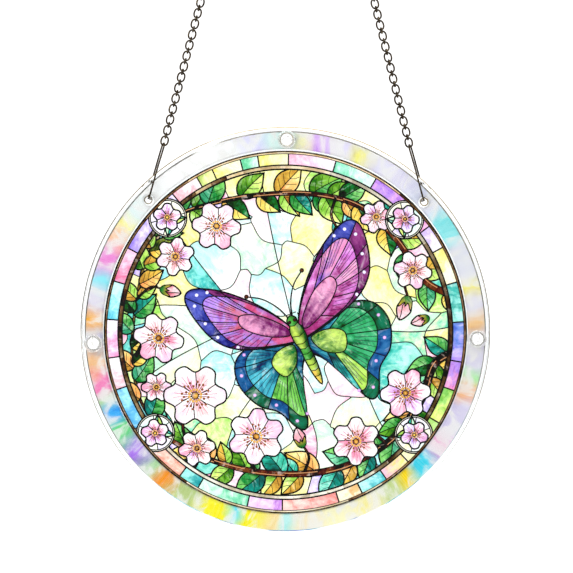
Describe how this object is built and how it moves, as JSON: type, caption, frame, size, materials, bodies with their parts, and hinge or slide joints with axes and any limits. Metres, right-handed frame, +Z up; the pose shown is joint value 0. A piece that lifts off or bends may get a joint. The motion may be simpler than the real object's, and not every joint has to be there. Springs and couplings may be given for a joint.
{
  "type": "acrylic puzzle suncatcher",
  "caption": "Round hanging suncatcher: a printed acrylic puzzle clamped inside an iridescent ring between clear discs, on fine chains.",
  "frame": {"origin": "where a nail or hook carries the hanging ring: the top of the inside of that ring", "axes": "+Z up, -Y the printed front, X across the front"},
  "size_m": [0.2, 0.014, 0.4341],
  "materials": {
    "clear_acrylic": "polished clear sheet",
    "iridescent_acrylic": "polished sheet with an iridescent film",
    "printed_acrylic": "UV-printed in colour on laser-cut sheet",
    "clear_plastic": "moulded clear nylon",
    "antique_bronze": "dark antique plating"
  },
  "bodies": {
    "root": {"back_plate": "clear_acrylic", "border_piece_01": "printed_acrylic", "border_piece_02": "printed_acrylic", "border_piece_03": "printed_acrylic", "border_piece_04": "printed_acrylic", "border_piece_05": "printed_acrylic", "border_piece_06": "printed_acrylic", "border_piece_07": "printed_acrylic", "border_piece_08": "printed_acrylic", "butterfly_body": "printed_acrylic", "butterfly_forewing_left": "printed_acrylic", "butterfly_forewing_right": "printed_acrylic", "butterfly_hindwing_left": "printed_acrylic", "butterfly_hindwing_right": "printed_acrylic", "chain_left": "antique_bronze", "chain_right": "antique_bronze", "corner_blossom_bottom_left": "printed_acrylic", "corner_blossom_bottom_right": "printed_acrylic", "corner_blossom_top_left": "printed_acrylic", "corner_blossom_top_right": "printed_acrylic", "field_piece_01": "printed_acrylic", "field_piece_02": "printed_acrylic", "field_piece_03": "printed_acrylic", "field_piece_04": "printed_acrylic", "field_piece_05": "printed_acrylic", "field_piece_06": "printed_acrylic", "field_piece_07": "printed_acrylic", "field_piece_08": "printed_acrylic", "field_piece_09": "printed_acrylic", "field_piece_10": "printed_acrylic", "field_piece_11": "printed_acrylic", "field_piece_12": "printed_acrylic", "field_piece_13": "printed_acrylic", "field_piece_14": "printed_acrylic", "field_piece_15": "printed_acrylic", "field_piece_16": "printed_acrylic", "flower_bottom": "printed_acrylic", "flower_far_left": "printed_acrylic", "flower_left": "printed_acrylic", "flower_lower_right": "printed_acrylic", "flower_right": "printed_acrylic", "flower_top_left": "printed_acrylic", "frame_ring": "iridescent_acrylic", "front_cover": "clear_acrylic", "hanging_ring": "antique_bronze", "nut_left": "clear_plastic", "nut_right": "clear_plastic", "nut_top": "clear_plastic", "screw_left": "clear_plastic", "screw_right": "clear_plastic", "screw_top": "clear_plastic", "wire_hook_left": "antique_bronze", "wire_hook_right": "antique_bronze"}
  },
  "joints": []
}
